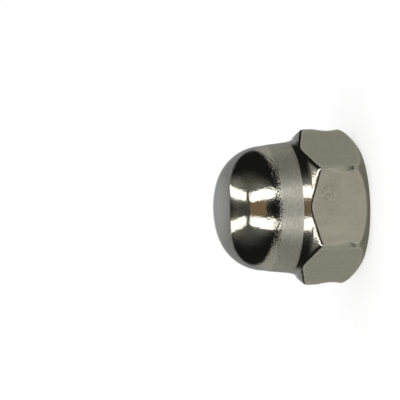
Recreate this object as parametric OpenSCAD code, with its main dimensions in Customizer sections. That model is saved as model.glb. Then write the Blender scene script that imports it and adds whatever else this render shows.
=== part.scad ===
// Domed cap nut with a blind threaded hole, standing on its bearing face with the dome up.
// The origin is the centre of the bearing face and +Z runs along the thread axis to the tip of the dome.
// A flat of the hexagon faces -Y. The hole has its tap-drill bore: the fine thread is not cut.

/* [Hexagon] */
// Width across the flats
across_flats = 17; // [16:0.1:19]
// How far the six upright edges are worn back from sharp
edge_wear = 0.04; // [0.02:0.01:0.15]
// How far each upright edge is worn in at the middle of its waist, from sharp
waist_depth = 0.25; // [0.2:0.05:0.45]
// Length of the waist along the upright edge
waist_length = 3.7; // [2:0.1:4]
// Height of the middle of the waist
waist_z = 3.55; // [3:0.05:4]

/* [Shoulder] */
// Height at which the shoulder runs out into the neck
shoulder_z = 8.72; // [8:0.02:9.5]
// Radius of the hollow from the shoulder to the neck
shoulder_hollow_r = 2.6; // [1.6:0.1:3.2]
// Slope of the shoulder over the corners, measured from the axis
shoulder_angle = 50; // [44:1:60]
// Step from the flats in to the foot of the neck
shoulder_step = 0.275; // [0.1:0.025:0.6]

/* [Dome] */
// Height of the whole nut
height = 18; // [17:0.1:20]
// Radius of the crown at the tip
crown_r = 11.86; // [10:0.02:14]
// Radius of the bend from the crown to the neck
knuckle_r = 5.93; // [4.5:0.01:6.5]
// Taper of the neck
neck_draft = 5.9; // [2:0.1:8]

/* [Base] */
// Diameter of the flat bearing face
seat_d = 14.9; // [14:0.1:15.4]
// Rounding from the bearing face to the base chamfer
seat_edge_r = 0.84; // [0.3:0.02:1.2]
// Slope of the base chamfer, measured from the bearing face
base_chamfer_angle = 36.5; // [30:0.5:42]
// Rounding from the base chamfer to the upright edges
base_corner_r = 2.2; // [1:0.1:2.4]

/* [Hole] */
// Bore of the threaded hole, before its thread is cut
hole_d = 8.5; // [8.3:0.05:8.8]
// Depth of the hole at its centre
hole_depth = 13; // [11:0.1:14]
// Slope of the floor of the hole, up to its centre
hole_floor_angle = 15; // [5:1:25]
// Rounding from the wall of the hole to its floor
hole_floor_r = 1.5; // [0.5:0.1:2]
// Diameter of the countersunk mouth at the bearing face
mouth_d = 11.7; // [10.4:0.1:12.2]
// Slope of the countersink, measured from the axis
mouth_angle = 45; // [40:1:60]
// Rounding of the lip between the countersink and the bearing face
mouth_lip_r = 0.4; // [0.2:0.05:0.6]

/* [Hidden] */
$fn = 96;

flats_r = across_flats / 2;
sharp_corner_r = flats_r / cos(30);
corner_r = sharp_corner_r - edge_wear;

// Foot of the neck and centre of the hollow that runs into it
neck_r = flats_r - shoulder_step;
neck_foot = [neck_r, shoulder_z];
hollow_centre = neck_foot + shoulder_hollow_r * [cos(neck_draft), sin(neck_draft)];
hollow_end = hollow_centre - shoulder_hollow_r * [cos(shoulder_angle), sin(shoulder_angle)];
shoulder_corner = [corner_r, hollow_end[1] - (corner_r - hollow_end[0]) / tan(shoulder_angle)];

// The knuckle touches the tapered neck outside it and the crown arc inside it
taper = tan(neck_draft);
crown_centre = [0, height - crown_r];
knuckle_base_r = neck_r + shoulder_z * taper - knuckle_r / cos(neck_draft);
knuckle_b = knuckle_base_r * taper + crown_centre[1];
knuckle_c = knuckle_base_r ^ 2 + crown_centre[1] ^ 2 - (crown_r - knuckle_r) ^ 2;
knuckle_z = (knuckle_b + sqrt(knuckle_b ^ 2 - (1 + taper ^ 2) * knuckle_c)) / (1 + taper ^ 2);
knuckle_centre = [knuckle_base_r - knuckle_z * taper, knuckle_z];
knuckle_angle = atan2(knuckle_z - crown_centre[1], knuckle_centre[0]);
// How far short of the knuckle the crown's own section ends, inside the knuckle's disc
crown_overlap = 0.05;

// Bearing face, base chamfer and the rounding up to the corners
seat_r = seat_d / 2;
chamfer_foot_r = seat_r + seat_edge_r * tan(base_chamfer_angle / 2);
base_round_r = corner_r - base_corner_r;
base_round_rise = base_corner_r + (base_round_r - chamfer_foot_r) * sin(base_chamfer_angle);
base_round_centre = [base_round_r, base_round_rise / cos(base_chamfer_angle)];
chamfer_direction = base_chamfer_angle - 90;

// Circle that wears the waist into the upright edges
waist_r = ((waist_length / 2) ^ 2 + waist_depth ^ 2) / (2 * waist_depth);

// Hole: the sharp corners of its section, before the lip and the floor are rounded
hole_r = hole_d / 2;
mouth_r = mouth_d / 2;
mouth_end_z = (mouth_r - hole_r) / tan(mouth_angle);
floor_edge_z = hole_depth - hole_r * tan(hole_floor_angle);
floor_round_z = floor_edge_z - hole_floor_r * tan(45 - hole_floor_angle / 2);
lip_r = mouth_r + mouth_lip_r * tan(45 - mouth_angle / 2);
// How far a cutting shape runs past the face that it cuts
past = 1;
// How far each rounding stands past the lines that it touches, so that its outline crosses them cleanly
overrun = 0.001;

// Point at a distance from a centre, in a direction
function polar(centre, radius, angle) = centre + radius * [cos(angle), sin(angle)];

// Disc that rounds a corner of a section
module rounding(centre, radius) {
    translate(centre) circle(r = radius + overrun);
}

// Half section of the crown, from the axis to where the knuckle takes over
module crown_section() {
    crown_end = polar(crown_centre, crown_r, knuckle_angle);
    intersection() {
        rounding(crown_centre, crown_r);
        translate([0, shoulder_z]) square([crown_end[0] - crown_overlap, height]);
    }
}

// Half section of the nut as if it were turned all over: base, upright edge, shoulder, neck and dome
module turned_section() {
    intersection() {
        difference() {
            union() {
                polygon([
                    [0, 0],
                    [seat_r, 0],
                    polar([seat_r, seat_edge_r], seat_edge_r, chamfer_direction),
                    polar(base_round_centre, base_corner_r, chamfer_direction),
                    polar(base_round_centre, base_corner_r, 0),
                    shoulder_corner,
                    hollow_end,
                    neck_foot,
                    polar(knuckle_centre, knuckle_r, neck_draft),
                    [0, knuckle_centre[1]]
                ]);
                rounding([seat_r, seat_edge_r], seat_edge_r);
                rounding(base_round_centre, base_corner_r);
                rounding(knuckle_centre, knuckle_r);
                crown_section();
            }
            rounding(hollow_centre, shoulder_hollow_r);
            translate([sharp_corner_r - waist_depth + waist_r, waist_z]) circle(r = waist_r, $fn = 192);
        }
        square([corner_r, height + past]);
    }
}

// Half section of the blind hole with its rounded lip, countersink, wall and floor
module hole_section() {
    lip_centre = [lip_r, mouth_lip_r];
    floor_round_centre = [hole_r - hole_floor_r, floor_round_z];
    difference() {
        union() {
            polygon([
                [0, -past],
                [lip_r, -past],
                lip_centre,
                polar(lip_centre, mouth_lip_r, 180 + mouth_angle),
                [hole_r, mouth_end_z],
                [hole_r, floor_round_z],
                polar(floor_round_centre, hole_floor_r, 90 - hole_floor_angle),
                [0, hole_depth]
            ]);
            rounding(floor_round_centre, hole_floor_r);
        }
        rounding(lip_centre, mouth_lip_r);
    }
}

// The nut: a hexagonal blank turned to shape outside and bored from below
module cap_nut() {
    color("#b4b0a6") {
        difference() {
            intersection() {
                rotate_extrude() turned_section();
                cylinder(r = sharp_corner_r, h = height + past, $fn = 6);
            }
            rotate_extrude() hole_section();
        }
    }
}

cap_nut();
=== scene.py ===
"""Domed cap nut in nickel plate, standing on its bearing face, with its camera and studio.

The nut is turned from a half section, milled to a hexagon and bored from below with a real thread.
It is one closed mesh with the finish of each surface: polished dome and shoulder, satin neck and
flats, rubbed bearing face.
"""

from functools import partial
from math import atan2, ceil, cos, floor, hypot, pi, radians, sin, sqrt, tan
from typing import NamedTuple

import bmesh
import bpy
from bpy.props import FloatProperty, FloatVectorProperty, PointerProperty
from bpy.types import Operator, Panel, PropertyGroup
from mathutils import Matrix, Vector


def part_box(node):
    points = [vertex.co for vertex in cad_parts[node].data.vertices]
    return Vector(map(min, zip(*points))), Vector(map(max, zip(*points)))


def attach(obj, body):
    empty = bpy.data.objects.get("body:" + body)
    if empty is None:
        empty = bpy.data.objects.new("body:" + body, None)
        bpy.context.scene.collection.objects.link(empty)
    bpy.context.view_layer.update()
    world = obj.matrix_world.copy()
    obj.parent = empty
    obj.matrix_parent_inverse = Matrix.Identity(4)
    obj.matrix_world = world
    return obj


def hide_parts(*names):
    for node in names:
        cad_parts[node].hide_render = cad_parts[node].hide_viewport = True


bl_info = {
    "name": "Domed Cap Nut",
    "version": (1, 0, 0),
    "blender": (4, 5, 0),
    "location": "3D View > Sidebar > Cap Nut",
    "description": "Builds a domed cap nut with its blind thread, and the studio it stands in",
    "category": "Add Mesh",
}

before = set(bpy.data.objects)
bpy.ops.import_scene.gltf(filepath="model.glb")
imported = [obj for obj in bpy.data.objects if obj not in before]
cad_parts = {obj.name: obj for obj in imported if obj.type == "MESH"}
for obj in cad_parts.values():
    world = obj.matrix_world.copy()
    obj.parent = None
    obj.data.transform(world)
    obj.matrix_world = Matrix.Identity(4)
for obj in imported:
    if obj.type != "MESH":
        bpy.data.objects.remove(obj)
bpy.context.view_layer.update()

MM = 0.001
PIECE = "plated_nut"
NODE = "cap_nut"
BODY = "root"
NUT_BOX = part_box(NODE)

# The hexagon's corners lie at 0, 60, 120 degrees and so on, and its flats face the angles between
FLAT_STEP = radians(60)
HALF_FLAT = radians(30)


def linear(hex_colour):
    """An sRGB colour such as #C4BFB2 as linear red, green and blue."""
    shares = [int(hex_colour[i:i + 2], 16) / 255 for i in (1, 3, 5)]
    return [c / 12.92 if c <= 0.04045 else ((c + 0.055) / 1.055) ** 2.4 for c in shares]


def length(name, description, default):
    """A length setting, given in metres."""
    return FloatProperty(
        name=name, description=description, default=default, subtype="DISTANCE", unit="LENGTH"
    )


def turn(name, description, default):
    """An angle setting, given in degrees."""
    return FloatProperty(
        name=name, description=description, default=radians(default), subtype="ANGLE"
    )


def colour(name, description, hex_colour):
    """A colour setting, given as sRGB hex."""
    return FloatVectorProperty(
        name=name, description=description, default=linear(hex_colour), subtype="COLOR"
    )


class CapNutSizes(PropertyGroup):
    """Sizes of the nut, outside and in."""

    across_flats: length("Across flats", "Width over two flats", 2 * NUT_BOX[1].y)
    height: length("Height", "From the bearing face to the tip of the dome", NUT_BOX[1].z)
    corner_rounding: length("Corner rounding", "Radius of the six upright edges", 0.2586 * MM)
    waist_depth: length("Waist depth", "How far each upright edge is worn in", 0.28 * MM)
    waist_length: length("Waist length", "Length of the worn stretch", 3.7 * MM)
    waist_z: length("Waist height", "Height at which the worn stretch is deepest", 3.25 * MM)
    waist_below: length("Waist below", "Worn stretch below its deepest point", 1.75 * MM)
    seat_d: length("Bearing face", "Diameter of the flat bearing face", 14.9 * MM)
    seat_edge_r: length("Bearing edge", "Rounding from bearing face to chamfer", 0.84 * MM)
    chamfer_angle: turn("Base chamfer", "Slope of the chamfer from the bearing face", 36.5)
    base_corner_r: length("Base corner", "Rounding from chamfer to upright edges", 2.2 * MM)
    base_edge_r: length("Base edge", "Rounding where the flats meet the chamfer", 0.8 * MM)
    shoulder_z: length("Shoulder height", "Where the shoulder meets the neck", 8.75 * MM)
    shoulder_step: length("Shoulder step", "From the flats in to the neck's foot", 0.285 * MM)
    foot_angle: turn("Shoulder foot", "Slope of the shoulder at the neck, from the axis", 18)
    foot_length: length("Shoulder foot length", "From the neck to the hollow", 0.85 * MM)
    shoulder_angle: turn("Shoulder slope", "Slope over the corners, from the axis", 52.5)
    hollow_r: length("Shoulder hollow", "Radius of the hollow shoulder", 0.8 * MM)
    shoulder_edge_r: length("Shoulder edge", "Rounding from flats to shoulder", 0.8 * MM)
    neck_draft: turn("Neck taper", "Taper of the neck", 5.9)
    knuckle_r: length("Knuckle", "Radius of the bend from the neck to the crown", 5.93 * MM)
    crown_r: length("Crown", "Radius of the crown at the tip", 11.86 * MM)
    bore_d: length("Bore", "Diameter of the bore before it is tapped", 8.5 * MM)
    thread_d: length("Thread", "Outer diameter of the thread", 10 * MM)
    pitch: length("Pitch", "Rise of the thread in one turn", 1.5 * MM)
    hole_depth: length("Hole depth", "Depth of the hole at its centre", 13 * MM)
    floor_angle: turn("Hole floor", "Slope of the floor of the hole", 15)
    floor_round_r: length("Floor rounding", "Rounding from the bore to the floor", 1.5 * MM)
    mouth_d: length("Mouth", "Diameter of the countersunk mouth", 11.7 * MM)
    mouth_angle: turn("Countersink", "Slope of the countersink from the axis", 45)
    lip_r: length("Lip", "Rounding of the lip of the mouth", 0.4 * MM)


class CapNutFinish(PropertyGroup):
    """Colours of the metal."""

    nickel: colour("Nickel", "Plate where it is bright", "#C4BFB2")
    skin_light: colour("Light skin", "Satin plate where it is clean", "#D4D1C0")
    skin_dark: colour("Dark skin", "Satin plate where it is handled", "#BBB8A8")
    scuff: colour("Scuff", "Satin plate where it is scuffed", "#8E8B7C")
    neck_light: colour("Light neck", "Plate on the high marks of the neck", "#D8D4C7")
    neck_dark: colour("Dark neck", "Plate between the marks of the neck", "#B8B6AA")
    plate_in_hole: colour("Plate in the hole", "Thin plate on the thread", "#A39C8C")
    bowl: colour("Hole floor", "Bare floor of the hole", "#6B6356")


class CapNutView(PropertyGroup):
    """Where the camera stands, and how large the nut lies in its picture."""

    azimuth: turn("Azimuth", "Turn of the camera round the nut", 0.54)
    elevation: turn("Elevation", "Height of the camera over the horizon", 15.23)
    roll: turn("Roll", "Dip of the dome under level in the picture, where it points left", 1.55)
    distance: length("Distance", "From the camera to the nut", 1.5)
    picture_width: length("Picture width", "Width of the picture at the nut", 50.31 * MM)
    base_right: length("Base to the right", "Base, right of the picture's centre", 19.38 * MM)
    base_down: length("Base down", "Base, below the picture's centre", 0.73 * MM)


def polar(centre, radius, angle):
    """Point of the section's plane at a distance and direction from a centre."""
    return Vector((centre[0] + radius * cos(angle), centre[1] + radius * sin(angle)))


def soft_min(a, b, blend):
    """The smaller of two lengths, rounded over where they are nearly equal."""
    share = max(blend - abs(a - b), 0) / blend
    return min(a, b) - share * share * blend / 4


class Section:
    """Half section of the nut at any angle round its axis, in radius and height."""

    WAIST_BLEND = 0.12 * MM

    def __init__(self, sizes):
        s = self.sizes = sizes
        self.flats_r = s.across_flats / 2
        self.plan_centre = (self.flats_r - s.corner_rounding) / cos(HALF_FLAT)
        self.corner_r = self.plan_centre + s.corner_rounding

        # Foot of the neck, the short slope from it and the hollow that follows
        self.neck_foot = Vector((self.flats_r - s.shoulder_step, s.shoulder_z))
        self.foot_way = Vector((sin(s.foot_angle), -cos(s.foot_angle)))
        foot_end = self.neck_foot + s.foot_length * self.foot_way
        self.hollow_centre = polar(foot_end, s.hollow_r, s.foot_angle)
        self.hollow_start = pi + s.foot_angle
        self.hollow_turn = s.shoulder_angle - s.foot_angle
        self.hollow_end = polar(self.hollow_centre, s.hollow_r, pi + s.shoulder_angle)
        self.shoulder_way = Vector((sin(s.shoulder_angle), -cos(s.shoulder_angle)))

        # Knuckle, which touches the tapered neck outside it and the crown inside it
        taper = tan(s.neck_draft)
        crown_z = s.height - s.crown_r
        base_r = self.neck_foot.x + s.shoulder_z * taper - s.knuckle_r / cos(s.neck_draft)
        b = base_r * taper + crown_z
        c = base_r ** 2 + crown_z ** 2 - (s.crown_r - s.knuckle_r) ** 2
        knuckle_z = (b + sqrt(b * b - (1 + taper * taper) * c)) / (1 + taper * taper)
        self.crown_centre = Vector((0, crown_z))
        self.knuckle_centre = Vector((base_r - knuckle_z * taper, knuckle_z))
        self.knuckle_end = atan2(knuckle_z - crown_z, self.knuckle_centre.x)
        self.neck_end = polar(self.knuckle_centre, s.knuckle_r, s.neck_draft)

        # Base chamfer and the rounding that runs on into the corners
        self.seat_r = s.seat_d / 2
        self.chamfer_turn = s.chamfer_angle - pi / 2
        self.chamfer_start = polar((self.seat_r, s.seat_edge_r), s.seat_edge_r, self.chamfer_turn)
        self.chamfer_way = Vector((cos(s.chamfer_angle), sin(s.chamfer_angle)))
        foot_r = self.seat_r + s.seat_edge_r * tan(s.chamfer_angle / 2)
        round_r = self.corner_r - s.base_corner_r
        rise = s.base_corner_r + (round_r - foot_r) * sin(s.chamfer_angle)
        self.base_centre = Vector((round_r, rise / cos(s.chamfer_angle)))
        line_end = polar(self.base_centre, s.base_corner_r, self.chamfer_turn)
        self.chamfer_length = (line_end - self.chamfer_start).length

        # Circle that wears the waist into the upright edges
        self.waist_half = s.waist_length / 2
        self.waist_r = (self.waist_half ** 2 + s.waist_depth ** 2) / (2 * s.waist_depth)
        self.waist_centre = self.flats_r / cos(HALF_FLAT) - s.waist_depth + self.waist_r

        # Hole: lip, end of the countersink, and rounding of the floor
        self.bore_r = s.bore_d / 2
        mouth_r = s.mouth_d / 2
        lip_x = mouth_r + s.lip_r * tan((pi / 2 - s.mouth_angle) / 2)
        self.lip_centre = Vector((lip_x, s.lip_r))
        self.mouth_end = Vector((self.bore_r, (mouth_r - self.bore_r) / tan(s.mouth_angle)))
        floor_edge = s.hole_depth - self.bore_r * tan(s.floor_angle)
        floor_round_z = floor_edge - s.floor_round_r * tan((pi / 2 - s.floor_angle) / 2)
        self.floor_centre = Vector((self.bore_r - s.floor_round_r, floor_round_z))

    def wall(self, turned):
        """Radius of the hexagon's wall, with its corner rounded, at an angle from mid-flat."""
        from_corner = HALF_FLAT - abs(turned)
        side = self.plan_centre * sin(from_corner)
        rounding = self.sizes.corner_rounding
        flat = self.flats_r / cos(turned)
        if flat * sin(from_corner) > rounding * tan(HALF_FLAT) * cos(HALF_FLAT):
            return flat
        return self.plan_centre * cos(from_corner) + sqrt(max(rounding ** 2 - side ** 2, 0))

    def worn(self, z):
        """Radius to which the upright edges are worn in at a height."""
        across = z - self.sizes.waist_z
        below = self.sizes.waist_below
        across *= self.waist_half / (below if across < 0 else self.sizes.waist_length - below)
        return self.waist_centre - sqrt(self.waist_r ** 2 - across ** 2)

    def along_chamfer(self, distance):
        """Point up the base chamfer, and on round the base corner."""
        if distance <= self.chamfer_length:
            return self.chamfer_start + distance * self.chamfer_way
        r = self.sizes.base_corner_r
        return polar(self.base_centre, r, self.chamfer_turn + (distance - self.chamfer_length) / r)

    def along_shoulder(self, distance):
        """Point down from the foot of the neck: a short slope, the hollow, and a straight slope."""
        if distance <= self.sizes.foot_length:
            return self.neck_foot + distance * self.foot_way
        r = self.sizes.hollow_r
        distance -= self.sizes.foot_length
        if distance <= r * self.hollow_turn:
            return polar(self.hollow_centre, r, self.hollow_start + distance / r)
        return self.hollow_end + (distance - r * self.hollow_turn) * self.shoulder_way

    def base_edge(self, wall):
        """Rounding from chamfer to wall: its centre, its first direction and where it starts."""
        r = self.sizes.base_edge_r
        x = wall - r
        slope = self.sizes.chamfer_angle
        rise = (r + (x - self.chamfer_start.x) * sin(slope)) / cos(slope)
        z = self.chamfer_start.y + rise
        touch = polar((x, z), r, self.chamfer_turn)
        start = (touch - self.chamfer_start).dot(self.chamfer_way)
        if start <= self.chamfer_length:
            return Vector((x, z)), self.chamfer_turn, start
        reach = self.sizes.base_corner_r - r
        side = x - self.base_centre.x
        drop = sqrt(max(reach ** 2 - side ** 2, 0))
        angle = atan2(-drop, side)
        past = self.sizes.base_corner_r * (angle - self.chamfer_turn)
        return Vector((x, self.base_centre.y - drop)), angle, self.chamfer_length + past

    def shoulder_edge(self, wall):
        """Rounding from wall to shoulder: its centre, its last direction and where it ends."""
        s = self.sizes
        r = s.shoulder_edge_r
        x = wall - r
        slope = s.shoulder_angle
        reach = s.hollow_r + r
        side = self.hollow_centre.x - x
        drop = sqrt(reach ** 2 - side ** 2)
        angle = atan2(drop, side)
        if angle <= slope:
            past = s.hollow_r * (angle - s.foot_angle)
            return Vector((x, self.hollow_centre.y - drop)), angle, s.foot_length + past
        z = self.hollow_end.y - (r + (x - self.hollow_end.x) * cos(slope)) / sin(slope)
        touch = polar((x, z), r, slope)
        past = (touch - self.hollow_end).dot(self.shoulder_way)
        return Vector((x, z)), slope, s.foot_length + s.hollow_r * self.hollow_turn + past

    def milled(self, stretch, share, turned):
        """Point some share along a stretch of the milled band, at an angle from mid-flat.

        The waist is worn through whichever stretch lies there.
        """
        wall = self.wall(turned)
        low, low_angle, low_start = self.base_edge(wall)
        high, high_angle, high_end = self.shoulder_edge(wall)
        if stretch == "chamfer":
            point = self.along_chamfer(share * low_start)
        elif stretch == "base edge":
            point = polar(low, self.sizes.base_edge_r, low_angle * (1 - share))
        elif stretch == "flat":
            point = Vector((wall, low.y + share * (high.y - low.y)))
        elif stretch == "shoulder edge":
            point = polar(high, self.sizes.shoulder_edge_r, high_angle * share)
        else:
            point = self.along_shoulder((1 - share) * high_end)
        point.x = soft_min(point.x, self.worn(point.y), self.WAIST_BLEND)
        return point


# Stretches of the milled band from the base up, with the number of steps in each
BAND = {"chamfer": 10, "base edge": 6, "flat": 56, "shoulder edge": 9, "shoulder": 30}
# Shares of a stretch at which loops lie close beside its roundings, to hold their shading
HOLD = {"chamfer": (0, 0.97), "flat": (0.006, 0.996), "shoulder": (0.02, 1)}
# Steps in which the rest of the section is drawn
STEPS = {
    "seat": 6, "seat edge": 6, "neck": 10, "knuckle": 26, "crown": 22,
    "lip": 5, "floor rounding": 8, "floor": 8,
}
# Finish of each stretch of the outside
FINISH_OF = {
    "seat": "seat",
    "seat edge": "flats", "chamfer": "flats", "base edge": "flats", "flat": "flats",
    "shoulder edge": "bright", "shoulder": "bright",
    "neck": "dome", "knuckle": "dome", "crown": "dome",
}
FINISHES = ["seat", "flats", "bright", "dome", "thread", "bowl"]
# Columns round the nut, and how strongly they crowd at the corners, from 0 to 1
COLUMNS = 288
CORNER_CROWDING = 0.8
# Vertices closer than this are one
JOIN = 0.00005 * MM
# Digits by which shares and angles of the band are told apart
SHARE_DIGITS = 6
ANGLE_DIGITS = 7
# Edges that bend more than this are shaded sharp
SHARP_FROM = radians(35)


def shares(stretch, steps):
    """Shares of a stretch at its loops, with a loop close beside each rounding."""
    if stretch not in HOLD:
        return [(i + 1) / steps for i in range(steps)]
    first, last = HOLD[stretch]
    inner = [first + (last - first) * i / (steps - 2) for i in range(steps - 1)]
    return sorted({round(s, SHARE_DIGITS) for s in [*inner, 1] if s > 0})


def draw_line(bm, tip, end, steps=1):
    """Draws on from a vertex in a straight line of the section, and gives the new vertices."""
    start = tip.co.copy()
    goal = Vector((end[0], 0, end[1]))
    made = []
    for i in range(steps):
        tip = bmesh.ops.extrude_vert_indiv(bm, verts=[tip])["verts"][0]
        tip.co = start.lerp(goal, (i + 1) / steps)
        made.append(tip)
    return made


def draw_arc(bm, tip, centre, angle, steps):
    """Draws on from a vertex in an arc of the section, and gives the new vertices."""
    count = len(bm.verts)
    bmesh.ops.spin(
        bm,
        geom=[tip],
        cent=(centre[0], 0, centre[1]),
        axis=(0, -1, 0),
        dvec=(0, 0, 0),
        angle=angle,
        steps=steps,
    )
    bm.verts.ensure_lookup_table()
    return [bm.verts[i] for i in range(count, len(bm.verts))]


def turn_section(bm):
    """Spins the drawn half section once round the axis."""
    bmesh.ops.spin(
        bm,
        geom=[*bm.verts, *bm.edges],
        cent=(0, 0, 0),
        axis=(0, 0, 1),
        dvec=(0, 0, 0),
        angle=2 * pi,
        steps=COLUMNS,
        use_merge=True,
    )


def crowded(x, y):
    """Angle of a spun column, moved towards the nearest corner, and its angle from mid-flat."""
    angle = atan2(y, x)
    middle = (floor(angle / FLAT_STEP) + 0.5) * FLAT_STEP
    share = (angle - middle) / HALF_FLAT
    crowd = (1 - CORNER_CROWDING) * share + CORNER_CROWDING * sin(share * pi / 2)
    turned = HALF_FLAT * crowd
    return middle + turned, turned


def turned_outside(section):
    """The outside of the nut, from the lip of the hole to the tip of the dome, milled."""
    s = section.sizes
    bm = bmesh.new()
    stretch_of = bm.verts.layers.string.new("stretch")
    share_of = bm.verts.layers.float.new("share")

    def mark(verts, name):
        for v in verts:
            v[stretch_of] = name.encode()
        return verts[-1]

    def line(name, tip, end):
        return mark(draw_line(bm, tip, end, STEPS[name]), name)

    def arc(name, tip, centre, angle):
        return mark(draw_arc(bm, tip, centre, angle, STEPS[name]), name)

    tip = mark([bm.verts.new((section.lip_centre.x, 0, 0))], "seat")
    tip = line("seat", tip, (section.seat_r, 0))
    tip = arc("seat edge", tip, (section.seat_r, s.seat_edge_r), s.chamfer_angle)
    for name, steps in BAND.items():
        for share in shares(name, steps):
            tip = mark(draw_line(bm, tip, section.milled(name, share, HALF_FLAT)), name)
            tip[share_of] = share
    tip = line("neck", tip, section.neck_end)
    tip = arc("knuckle", tip, section.knuckle_centre, section.knuckle_end - s.neck_draft)
    tip = arc("crown", tip, section.crown_centre, pi / 2 - section.knuckle_end)
    tip.co = (0, 0, s.height)

    turn_section(bm)
    milled = {}
    for v in bm.verts:
        r = hypot(v.co.x, v.co.y)
        if r < JOIN:
            continue
        angle, turned = crowded(v.co.x, v.co.y)
        name = v[stretch_of].decode()
        if name in BAND:
            key = (name, round(v[share_of], SHARE_DIGITS), round(abs(turned), ANGLE_DIGITS))
            if key not in milled:
                milled[key] = section.milled(name, v[share_of], abs(turned))
            r, v.co.z = milled[key]
        v.co.x = r * cos(angle)
        v.co.y = r * sin(angle)

    for f in bm.faces:
        top = max(f.verts, key=lambda v: (v.co.z, -hypot(v.co.x, v.co.y)))
        f.material_index = FINISHES.index(FINISH_OF[top[stretch_of].decode()])
    bm.verts.layers.string.remove(bm.verts.layers.string["stretch"])
    bm.verts.layers.float.remove(bm.verts.layers.float["share"])
    return bm


def bored_plug(section):
    """The hole as a solid plug: lip, countersink, bore and floor, closed across the mouth."""
    s = section.sizes
    floor_turn = pi / 2 - s.floor_angle
    bm = bmesh.new()
    tip = bm.verts.new((section.lip_centre.x, 0, 0))
    tip = draw_arc(bm, tip, section.lip_centre, s.mouth_angle - pi / 2, STEPS["lip"])[-1]
    tip = draw_line(bm, tip, section.mouth_end)[-1]
    tip = draw_line(bm, tip, (section.bore_r, section.floor_centre.y))[-1]
    tip = draw_arc(bm, tip, section.floor_centre, floor_turn, STEPS["floor rounding"])[-1]
    draw_line(bm, tip, (0, s.hole_depth), STEPS["floor"])
    turn_section(bm)
    for v in bm.verts:
        r = hypot(v.co.x, v.co.y)
        if r > JOIN:
            angle, _ = crowded(v.co.x, v.co.y)
            v.co.x, v.co.y = r * cos(angle), r * sin(angle)
    bmesh.ops.remove_doubles(bm, verts=bm.verts, dist=JOIN)
    rim = [e for e in bm.edges if e.is_boundary]
    bmesh.ops.edgeloop_fill(bm, edges=rim)
    bmesh.ops.recalc_face_normals(bm, faces=bm.faces)
    for f in bm.faces:
        z = f.calc_center_median().z
        inside = "thread" if z < section.floor_centre.y else "bowl"
        f.material_index = FINISHES.index("seat" if z < s.lip_r else inside)
    return bm


# Thread: steps in a turn, steps of its run-out, and half the angle between its flanks
THREAD_STEPS = 72
RUNOUT_STEPS = 72
FLANK = radians(30)
# How far the ridge is sunk into the plug, and how far it keeps from the mouth and from the floor
RIDGE_SUNK = 0.25 * MM
RIDGE_FROM_MOUTH = 0.08 * MM
RIDGE_FROM_FLOOR = 1.6 * MM


def thread_ridge(section):
    """The thread's groove as a solid ridge that winds up the plug and runs out before its end."""
    s = section.sizes
    depth = s.thread_d / 2 - section.bore_r
    inner_r = section.bore_r - RIDGE_SUNK
    root = s.pitch / 8  # as on any metric thread
    foot = root + 2 * (depth + RIDGE_SUNK) * tan(FLANK)
    first_z = foot / 2 + RIDGE_FROM_MOUTH
    last_z = section.floor_centre.y - RIDGE_FROM_FLOOR
    turns = (last_z - first_z) / s.pitch
    steps = ceil(turns * THREAD_STEPS)
    wind = partial(
        bmesh.ops.spin,
        cent=(0, 0, 0),
        axis=(0, 0, 1),
        dvec=Vector((0, 0, s.pitch / THREAD_STEPS)),
    )
    step_turn = 2 * pi / THREAD_STEPS

    bm = bmesh.new()
    outline = [
        (inner_r, -foot / 2),
        (s.thread_d / 2, -root / 2),
        (s.thread_d / 2, root / 2),
        (inner_r, foot / 2),
    ]
    ring = [bm.verts.new((r, 0, first_z + z)) for r, z in outline]
    start = bm.faces.new(ring)
    last = wind(bm, geom=[*ring, *start.edges], angle=steps * step_turn, steps=steps)["geom_last"]
    for _ in range(RUNOUT_STEPS):
        last = wind(bm, geom=last, angle=step_turn, steps=1)["geom_last"]
        verts = [g for g in last if isinstance(g, bmesh.types.BMVert)]
        tips = [v for v in verts if hypot(v.co.x, v.co.y) > section.bore_r - RIDGE_SUNK / 2]
        outward = Vector((tips[0].co.x, tips[0].co.y, 0)).normalized()
        sink = (depth + RIDGE_SUNK / 4) / RUNOUT_STEPS
        bmesh.ops.translate(bm, verts=tips, vec=-outward * sink)
    bmesh.ops.contextual_create(bm, geom=[g for g in last if isinstance(g, bmesh.types.BMEdge)])
    bmesh.ops.recalc_face_normals(bm, faces=bm.faces)
    for f in bm.faces:
        f.material_index = FINISHES.index("thread")
    return bm


def as_object(bm, name):
    """Turns a bmesh into a new object in the scene."""
    mesh = bpy.data.meshes.new(name)
    bm.to_mesh(mesh)
    bm.free()
    obj = bpy.data.objects.new(name, mesh)
    bpy.context.scene.collection.objects.link(obj)
    return obj


def tapped_hole(section):
    """The plug joined to the ridge of the thread, as a bmesh that is open across the mouth."""
    plug = as_object(bored_plug(section), "plug")
    ridge = as_object(thread_ridge(section), "ridge")
    join = plug.modifiers.new("join", "BOOLEAN")
    join.operation = "UNION"
    join.solver = "EXACT"
    join.object = ridge
    shape = plug.evaluated_get(bpy.context.evaluated_depsgraph_get())
    bm = bmesh.new()
    bm.from_mesh(shape.data)
    for obj in (plug, ridge):
        bpy.data.meshes.remove(obj.data)
    cover = [f for f in bm.faces if all(v.co.z < JOIN for v in f.verts)]
    bmesh.ops.delete(bm, geom=cover, context="FACES_ONLY")
    return bm


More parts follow.
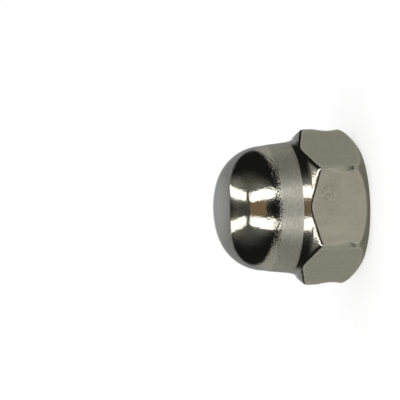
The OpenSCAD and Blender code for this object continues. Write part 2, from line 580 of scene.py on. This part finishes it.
def add_node(tree, kind, *values, **named):
    """Adds a shader node, sets it up and links it.

    Values go to the node's inputs in their order. A named value goes to the input of that name,
    with _ for a space, or to the node's setting of that name, which is in small letters. Where a
    value is a node, its first output is linked.
    """
    node = tree.nodes.new("ShaderNode" + kind)
    for name in [n for n in named if n.islower()]:
        setattr(node, name, named.pop(name))
    inputs = [socket for socket in node.inputs if socket.enabled]
    given = list(zip(inputs, values))
    for name, value in named.items():
        given.append((next(s for s in inputs if s.name == name.replace("_", " ")), value))
    for socket, value in given:
        if isinstance(value, bpy.types.Node):
            value = next(output for output in value.outputs if output.enabled)
        if isinstance(value, bpy.types.NodeSocket):
            tree.links.new(value, socket)
        elif socket.type == "RGBA":
            socket.default_value = (*value[:3], 1)
        else:
            socket.default_value = value
    return node


def new_material(name):
    """An empty node material, and the function that adds a node to it."""
    material = bpy.data.materials.new(name)
    material.use_nodes = True
    material.node_tree.nodes.clear()
    return material, partial(add_node, material.node_tree)


# The scale of a pattern is PER_MM over the width of its features in millimetres
PER_MM = 1000
# Range that holds nearly all values of a noise
NOISE = (0.3, 0.7)
# Settings of a Map Range node that eases in and out, and of a Mix node for colours
EASED = {"interpolation_type": "SMOOTHSTEP"}
COLOURS = {"data_type": "RGBA"}
# Heights on the dome: the neck, the ragged end of the buffing, and the grain that fades out above
NECK = (8.8 * MM, 11.5 * MM)
BUFFING_ENDS = (11.15 * MM, 11.5 * MM)
GRAIN_FADES = (11.9 * MM, 15.6 * MM)
# Radius over which the upright edges are rubbed
RUBBED = (9.35 * MM, 9.5 * MM)
# Scuff on the flat that faces the camera: its middle, and from where to where it fades
SCUFF = (1.5 * MM, -8.5 * MM, 5.5 * MM)
SCUFF_FADES = (0.6 * MM, 2.3 * MM)
# Roughness of each finish, and what its two ends stand for
ROUGHNESS = {
    "mirror": 0.035,
    "neck": (0.46, 0.4),  # foot and top
    "flats": (0.42, 0.29),  # skin and rubbed edges
    "shoulder": (0.09, 0.15),  # troughs and crests of its ripples
    "seat": (0.5, 0.3),  # pits and high spots
    "thread": (0.24, 0.4),  # troughs and crests of its marks
    "bowl": (0.5, 0.65),  # low and high grain
}


def dome_plate(finish):
    """Nickel plate, buffed on the dome and left satin on the neck.

    The dome mirrors like glass. Towards the neck the buffing stops short: grain breaks the mirror
    up first, and then the turned skin under the plate spreads it to a soft glow with fine marks
    round the neck.
    """
    material, add = new_material("buffed_nickel_plate")
    place = add("TexCoord").outputs["Object"]
    height = add("SeparateXYZ", place).outputs["Z"]

    # Share of satin skin, which ends in a ragged edge, and the roughness that follows from it
    edge = add("TexNoise", Vector=place, Scale=PER_MM / 0.16, Detail=1)
    ragged = add("MapRange", edge, *NOISE, -0.7 * MM, 0)
    reached = add("Math", height, ragged, operation="ADD")
    satin = add("MapRange", reached, *BUFFING_ENDS, 1, 0, **EASED)
    worn = add("MapRange", height, *NECK, *ROUGHNESS["neck"])
    smudges = add("TexNoise", Vector=place, Scale=PER_MM / 1.5)
    smudge = add("MapRange", smudges, *NOISE, -0.03, 0.03)
    skin = add("Math", worn, smudge, operation="ADD")
    roughness = add("MapRange", satin, 0, 1, ROUGHNESS["mirror"], skin)

    # Soft orange peel all over, and a grain that grows towards the neck. Both are drawn coarser
    # than the real ones, which are too fine to show.
    peel = add("TexNoise", Vector=place, Scale=PER_MM / 0.6, Detail=3, Roughness=0.6)
    bump = add("Bump", Height=peel, Distance=0.018 * MM)
    fading = add("MapRange", height, *GRAIN_FADES, 1, 0)
    grainy = add("Math", fading, 1.6, operation="POWER")
    depth = add("MapRange", grainy, 0, 1, 0.12, 1)
    grain = add("TexNoise", Vector=place, Scale=PER_MM / 0.28)
    bump = add("Bump", Height=grain, Strength=depth, Distance=0.022 * MM, Normal=bump)

    # Fine turning marks round the neck
    rings = add("Mapping", place, Scale=(0.03, 0.03, 1))
    marks = add("TexNoise", Vector=rings, Scale=PER_MM / 0.16, Detail=3, Roughness=0.7)
    bump = add("Bump", Height=marks, Strength=satin, Distance=0.004 * MM, Normal=bump)

    # Short streaks of lighter and darker plate on the neck
    streaks = add("Mapping", place, Scale=(0.35, 0.35, 1))
    tones = add("TexNoise", Vector=streaks, Scale=PER_MM / 0.2, Detail=3, Roughness=0.65)
    tone = add("MapRange", tones, *NOISE, 0, 1)
    neck = add("Mix", tone, finish.neck_dark, finish.neck_light, **COLOURS)
    base = add("Mix", satin, finish.nickel, neck, **COLOURS)
    metal = add("BsdfPrincipled", Base_Color=base, Metallic=1, Roughness=roughness, Normal=bump)
    add("OutputMaterial", metal)
    return material


def bright_plate(finish):
    """Nickel plate on the turned shoulder: nearly as bright as the dome, with faint tool ripples.

    The ripples are drawn coarser than the real ones, which are too fine to show.
    """
    material, add = new_material("bright_nickel_plate")
    place = add("TexCoord").outputs["Object"]
    ripples = add("TexNoise", Vector=place, Scale=PER_MM / 0.32)
    bump = add("Bump", Height=ripples, Distance=0.016 * MM)
    rough = add("MapRange", ripples, *NOISE, *ROUGHNESS["shoulder"])
    metal = add(
        "BsdfPrincipled", Base_Color=finish.nickel, Metallic=1, Roughness=rough, Normal=bump
    )
    add("OutputMaterial", metal)
    return material


def satin_plate(finish):
    """Nickel plate over the drawn skin of the hexagon bar.

    The skin is satin and finely mottled, with soft smudges from handling and faint drawing lines
    along the bar. Spanners have rubbed it smoother at the six upright edges, and one flat is
    scuffed. The mottling is drawn coarser than the real one, which is too fine to show.
    """
    material, add = new_material("satin_nickel_plate")
    place = add("TexCoord").outputs["Object"]

    # Roughness: smudges, mottling, drawing lines and the rubbed upright edges
    smudges = add("TexNoise", Vector=place, Scale=PER_MM / 1.8, Detail=3, Roughness=0.65)
    smudge = add("MapRange", smudges, 0.35, 0.65, -0.05, 0.05)
    mottling = add("TexNoise", Vector=place, Scale=PER_MM / 0.25)
    mottle = add("MapRange", mottling, *NOISE, -0.04, 0.04)
    bar = add("Mapping", place, Scale=(1, 1, 0.04))
    drawing = add("TexNoise", Vector=bar, Scale=PER_MM / 0.9, Detail=3, Roughness=0.6)
    lines = add("MapRange", drawing, *NOISE, -0.05, 0.05)
    in_plan = add("Mapping", place, Scale=(1, 1, 0))
    radius = add("VectorMath", in_plan, operation="LENGTH")
    rubbed = add("MapRange", radius, *RUBBED, 0, 1, **EASED)
    matt = add("MapRange", rubbed, 0, 1, *ROUGHNESS["flats"])
    mottle = add("Math", smudge, mottle, operation="ADD")
    matt = add("Math", lines, matt, operation="ADD")
    roughness = add("Math", mottle, matt, operation="ADD")

    skin = add("TexNoise", Vector=place, Scale=PER_MM / 0.22, Detail=3, Roughness=0.6)
    depth = add("MapRange", rubbed, 0, 1, 1, 0.25)
    bump = add("Bump", Height=skin, Strength=depth, Distance=0.008 * MM)

    # Colour: lighter on the high spots of the skin, and where it isn't handled
    high = add("MapRange", skin, *NOISE, 0.15, 0.6)
    clean = add("Math", smudge, 3, high, operation="MULTIPLY_ADD")
    clean = add("Math", lines, 5, clean, operation="MULTIPLY_ADD")
    base = add("Mix", clean, finish.skin_dark, finish.skin_light, **COLOURS)

    # Specks of the scuff
    away = add("VectorMath", place, SCUFF, operation="DISTANCE")
    scuffed = add("MapRange", away, *SCUFF_FADES, 1, 0, **EASED)
    dents = add("TexNoise", Vector=place, Scale=PER_MM / 0.45, Detail=3, Roughness=0.7)
    specks = add("MapRange", dents, 0.5, 0.66, 0, 0.9, **EASED)
    scuff = add("Math", specks, scuffed, operation="MULTIPLY")
    base = add("Mix", scuff, base, finish.scuff, **COLOURS)
    metal = add("BsdfPrincipled", Base_Color=base, Metallic=1, Roughness=roughness, Normal=bump)
    add("OutputMaterial", metal)
    return material


def rubbed_plate(finish):
    """Nickel plate on the forged bearing face: bright on its high spots and pitted between them."""
    material, add = new_material("rubbed_nickel_plate")
    place = add("TexCoord").outputs["Object"]
    pits = add("TexNoise", Vector=place, Scale=PER_MM / 0.45, Detail=4)
    high = add("MapRange", pits, 0.36, 0.5, 0, 1, **EASED)
    bump = add("Bump", Height=high, Strength=0.8, Distance=0.02 * MM)
    rough = add("MapRange", high, 0, 1, *ROUGHNESS["seat"])
    metal = add(
        "BsdfPrincipled", Base_Color=finish.nickel, Metallic=1, Roughness=rough, Normal=bump
    )
    add("OutputMaterial", metal)
    return material


def thread_plate(finish):
    """Thin nickel plate on cut threads: duller and browner, with cutting marks on the flanks."""
    material, add = new_material("plated_thread")
    place = add("TexCoord").outputs["Object"]
    marks = add("TexNoise", Vector=place, Scale=PER_MM / 0.3, Detail=3)
    rough = add("MapRange", marks, *NOISE, *ROUGHNESS["thread"])
    bump = add("Bump", Height=marks, Strength=0.6, Distance=0.005 * MM)
    metal = add(
        "BsdfPrincipled", Base_Color=finish.plate_in_hole, Metallic=1, Roughness=rough, Normal=bump
    )
    add("OutputMaterial", metal)
    return material


def bare_bowl(finish):
    """Floor of the blind hole, which plating hardly reached: matt, brownish grey and grainy."""
    material, add = new_material("bare_forged_steel")
    place = add("TexCoord").outputs["Object"]
    skin = add("TexNoise", Vector=place, Scale=PER_MM / 0.35, Detail=4)
    rough = add("MapRange", skin, *NOISE, *ROUGHNESS["bowl"])
    bump = add("Bump", Height=skin, Strength=0.8, Distance=0.01 * MM)
    metal = add("BsdfPrincipled", Base_Color=finish.bowl, Metallic=1, Roughness=rough, Normal=bump)
    add("OutputMaterial", metal)
    return material


class CAPNUT_OT_nut(Operator):
    """Turns, mills, bores and taps the nut, and plates each of its surfaces"""

    bl_idname = "capnut.nut"
    bl_label = "Cap Nut"

    def execute(self, context):
        finish = context.scene.cap_nut_finish
        section = Section(context.scene.cap_nut_sizes)
        bm = turned_outside(section)
        hole = tapped_hole(section)
        inside = bpy.data.meshes.new("hole")
        hole.to_mesh(inside)
        hole.free()
        bm.from_mesh(inside)
        bpy.data.meshes.remove(inside)
        bmesh.ops.remove_doubles(bm, verts=bm.verts, dist=JOIN)
        bmesh.ops.recalc_face_normals(bm, faces=bm.faces)
        if bm.calc_volume(signed=True) < 0:
            bmesh.ops.reverse_faces(bm, faces=bm.faces)
        open_edges = sum(1 for e in bm.edges if not e.is_manifold)
        if open_edges:
            raise RuntimeError(f"the nut isn't closed: {open_edges} open edges")
        nut = as_object(bm, PIECE)
        plates = {
            "seat": rubbed_plate,
            "flats": satin_plate,
            "bright": bright_plate,
            "dome": dome_plate,
            "thread": thread_plate,
            "bowl": bare_bowl,
        }
        for name in FINISHES:
            nut.data.materials.append(plates[name](finish))
        nut.data.shade_smooth()
        nut.data.set_sharp_from_angle(angle=SHARP_FROM)
        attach(nut, BODY)
        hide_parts(NODE)
        return {"FINISHED"}


def picture_axes(view):
    """Unit vectors to the camera, to the right of the picture and up it."""
    a, e, roll = view.azimuth, view.elevation, view.roll
    to_camera = Vector((sin(a) * cos(e), -cos(a) * cos(e), sin(e)))
    dome = (Vector((0, 0, 1)) - sin(e) * to_camera).normalized()
    side = to_camera.cross(dome)
    right = -cos(roll) * dome + sin(roll) * side
    up = -sin(roll) * dome - cos(roll) * side
    return to_camera, right, up


class Card(NamedTuple):
    """A glowing card bent round the nut.

    Its edges are in degrees right of the camera and above it, as the polished dome mirrors them:
    across is its left and right edge, and left, middle and right are its lower and upper edge at
    those places. Its border is the share of its half width over which it fades in.
    """

    shade: str
    strength: float
    across: tuple
    left: tuple
    right: tuple
    distance: float
    border: float = 0.05
    oval: bool = False
    middle: tuple = None


# Studio as the bright dome mirrors it, from the outermost card in
CARDS = {
    "grey_tent": Card("#979BA0", 1.0, (-173, 178), (-176, 176), (-176, 176), 0.60, 0.1, True),
    "right_tent": Card("#B1B3AE", 1.0, (-90, 170), (-178, 178), (-178, 178), 0.595, 0.18, True),
    "left_glow": Card("#B4B9C2", 1.0, (-170, -95), (-75, 75), (-75, 75), 0.59, 0.9, True),
    "right_glow": Card("#D8D6D2", 1.0, (8, 76), (-90, 90), (-90, 90), 0.585, 0.9, True),
    "under_card": Card("#7E8078", 1.0, (50, 190), (-150, 150), (-150, 150), 0.58, 0.6, True),
    "dark_tent": Card("#1F211F", 1.0, (-108, 26), (-134, 137), (-134, 137), 0.57, 0.07, True),
    "upper_haze": Card("#72746A", 1.0, (-116, 20), (-20, 76), (-20, 76), 0.56, 1.0, True),
    "lower_haze": Card("#646866", 1.0, (-116, 20), (-84, 20), (-84, 20), 0.56, 1.0, True),
    "upper_far_glow": Card("#A2A6A4", 1.0, (-122, -46), (-8, 64), (-8, 64), 0.555, 1.0, True),
    "upper_glow": Card("#9A9E9C", 1.0, (-58, 28), (-6, 56), (-2, 58), 0.553, 1.0, True),
    "lower_far_glow": Card("#92928A", 1.0, (-122, -46), (-64, 4), (-60, 4), 0.555, 1.0, True),
    "lower_glow": Card("#8A8E8C", 1.0, (-58, 28), (-54, 2), (-60, 2), 0.553, 1.0, True),
    "brown_board": Card("#8E7C62", 1.0, (-45, -3), (-17, 15), (-17, 15), 0.545, 0.12),
    "upper_strip": Card(
        "#FFFFFF", 2.5, (-47, 17), (11, 25), (19, 35), 0.53, 0.1, middle=(13.5, 34.5)
    ),
    "lower_strip": Card(
        "#FFFFFF", 2.5, (-47, 17), (-28, -13.5), (-37.5, -20), 0.53, 0.1, middle=(-37.5, -16.5)
    ),
    "upper_far_strip": Card("#FFFFFF", 2.2, (-104, -53), (15, 37), (11, 27), 0.53, 0.1),
    "lower_far_strip": Card("#FFFFFF", 2.2, (-104, -53), (-43, -20), (-30, -14), 0.53, 0.1),
}
CARD_GRID = 48
CARD_SOLID = "solid"


def bent_card(name, card, view):
    """Bends a card round the nut. Only the nut's reflections see it."""
    to_camera, right, up = picture_axes(view)
    bm = bmesh.new()
    bmesh.ops.create_grid(bm, x_segments=CARD_GRID, y_segments=CARD_GRID, size=1)
    solid = bm.verts.layers.float.new(CARD_SOLID)
    left_edge, right_edge = Vector(card.left), Vector(card.right)
    middle = Vector(card.middle or (left_edge + right_edge) / 2)
    for v in bm.verts:
        x, y = v.co.x, v.co.y
        inside = 1 - max(abs(x), abs(y))
        if card.oval:
            # The square grid is pressed into a disc
            x, y = x * sqrt(1 - y * y / 2), y * sqrt(1 - x * x / 2)
            inside = 1 - hypot(x, y)
        fade = min(max(inside, 0) / card.border, 1)
        v[solid] = fade * fade * (3 - 2 * fade)

        # The lower and upper edges are curves through their places at left, middle and right
        share, lift = (x + 1) / 2, (y + 1) / 2
        low, high = (
            left_edge * ((1 - share) * (1 - 2 * share))
            + middle * (4 * share * (1 - share))
            + right_edge * (share * (2 * share - 1))
        )
        across = radians(card.across[0] + share * (card.across[1] - card.across[0]))
        rise = radians(low + lift * (high - low))
        away = hypot(across, rise)
        sideways = (across * right + rise * up).normalized()
        v.co = card.distance * (cos(away) * to_camera + sin(away) * sideways)
    sheet = as_object(bm, name)

    material, add = new_material(name)
    glow = add("Emission", linear(card.shade), card.strength)
    seen = add("Attribute", attribute_name=CARD_SOLID).outputs["Fac"]
    add("OutputMaterial", add("MixShader", seen, add("BsdfTransparent"), glow))
    sheet.data.materials.append(material)
    sheet.visible_camera = False
    sheet.visible_diffuse = False
    sheet.visible_shadow = False
    sheet.visible_transmission = False


# Half the width of the floor, in metres
FLOOR_REACH = 4
# Shade of the paper, and the glow that lifts it to white for the camera alone, out of the shadow
PAPER = (0.3, 0.3, 0.3)
PAPER_LIFT = 0.72
WHITE = (1, 1, 1)


class CAPNUT_OT_studio(Operator):
    """Sets the camera, the pale floor, the white background and the cards that the plate mirrors"""

    bl_idname = "capnut.studio"
    bl_label = "Studio"

    def execute(self, context):
        view = context.scene.cap_nut_view
        self.place_camera(context, view)
        self.lay_floor()
        self.light_world(context)
        for name, card in CARDS.items():
            bent_card(name, card, view)
        context.scene.view_settings.view_transform = "Standard"
        return {"FINISHED"}

    @staticmethod
    def place_camera(context, view):
        """Stands the camera where the view says, and aims it at the middle of its picture."""
        to_camera, right, up = picture_axes(view)
        place = Vector((0, 0, NUT_BOX[1].z / 2)) + to_camera * view.distance
        aim = up * view.base_down - right * view.base_right
        back = (place - aim).normalized()
        across = up.cross(back).normalized()
        data = bpy.data.cameras.new("camera")
        data.lens = data.sensor_width * (place - aim).length / view.picture_width
        camera = bpy.data.objects.new("camera", data)
        context.scene.collection.objects.link(camera)
        turned = Matrix((across, back.cross(across), back)).transposed()
        camera.matrix_world = Matrix.LocRotScale(place, turned, None)
        context.scene.camera = camera

    @staticmethod
    def lay_floor():
        """Lays white paper, which takes the nut's shadow and isn't mirrored in its plate."""
        bm = bmesh.new()
        bmesh.ops.create_grid(bm, x_segments=1, y_segments=1, size=FLOOR_REACH)
        ground = as_object(bm, "floor")
        material, add = new_material("white_paper")
        seen = add("LightPath").outputs["Is Camera Ray"]
        lift = add("Math", seen, PAPER_LIFT, operation="MULTIPLY")
        paper = add("AddShader", add("BsdfDiffuse", PAPER), add("Emission", Strength=lift))
        add("OutputMaterial", paper)
        ground.data.materials.append(material)
        ground.visible_glossy = False

    @staticmethod
    def light_world(context):
        """Lights the scene evenly from all round."""
        world = bpy.data.worlds.new("studio")
        world.use_nodes = True
        world.node_tree.nodes.clear()
        sky = add_node(world.node_tree, "Background", WHITE)
        add_node(world.node_tree, "OutputWorld", sky)
        context.scene.world = world


class CAPNUT_PT_panel(Panel):
    """Lists the steps that build the nut and its studio"""

    bl_idname = "CAPNUT_PT_panel"
    bl_label = "Cap Nut"
    bl_space_type = "VIEW_3D"
    bl_region_type = "UI"
    bl_category = "Cap Nut"

    def draw(self, context):
        for step in OPERATORS:
            self.layout.operator(step.bl_idname)


SETTINGS = {
    "cap_nut_sizes": CapNutSizes,
    "cap_nut_finish": CapNutFinish,
    "cap_nut_view": CapNutView,
}
OPERATORS = [CAPNUT_OT_nut, CAPNUT_OT_studio]
CLASSES = [*SETTINGS.values(), *OPERATORS, CAPNUT_PT_panel]


def register():
    """Registers the classes, and puts the settings on the scene."""
    for cls in CLASSES:
        bpy.utils.register_class(cls)
    for name, cls in SETTINGS.items():
        setattr(bpy.types.Scene, name, PointerProperty(type=cls))


def unregister():
    """Takes the settings off the scene, and unregisters the classes."""
    for name in SETTINGS:
        delattr(bpy.types.Scene, name)
    for cls in reversed(CLASSES):
        bpy.utils.unregister_class(cls)


def main():
    """Builds the nut and its studio."""
    register()
    bpy.ops.capnut.nut()
    bpy.ops.capnut.studio()


if __name__ == "__main__":
    main()
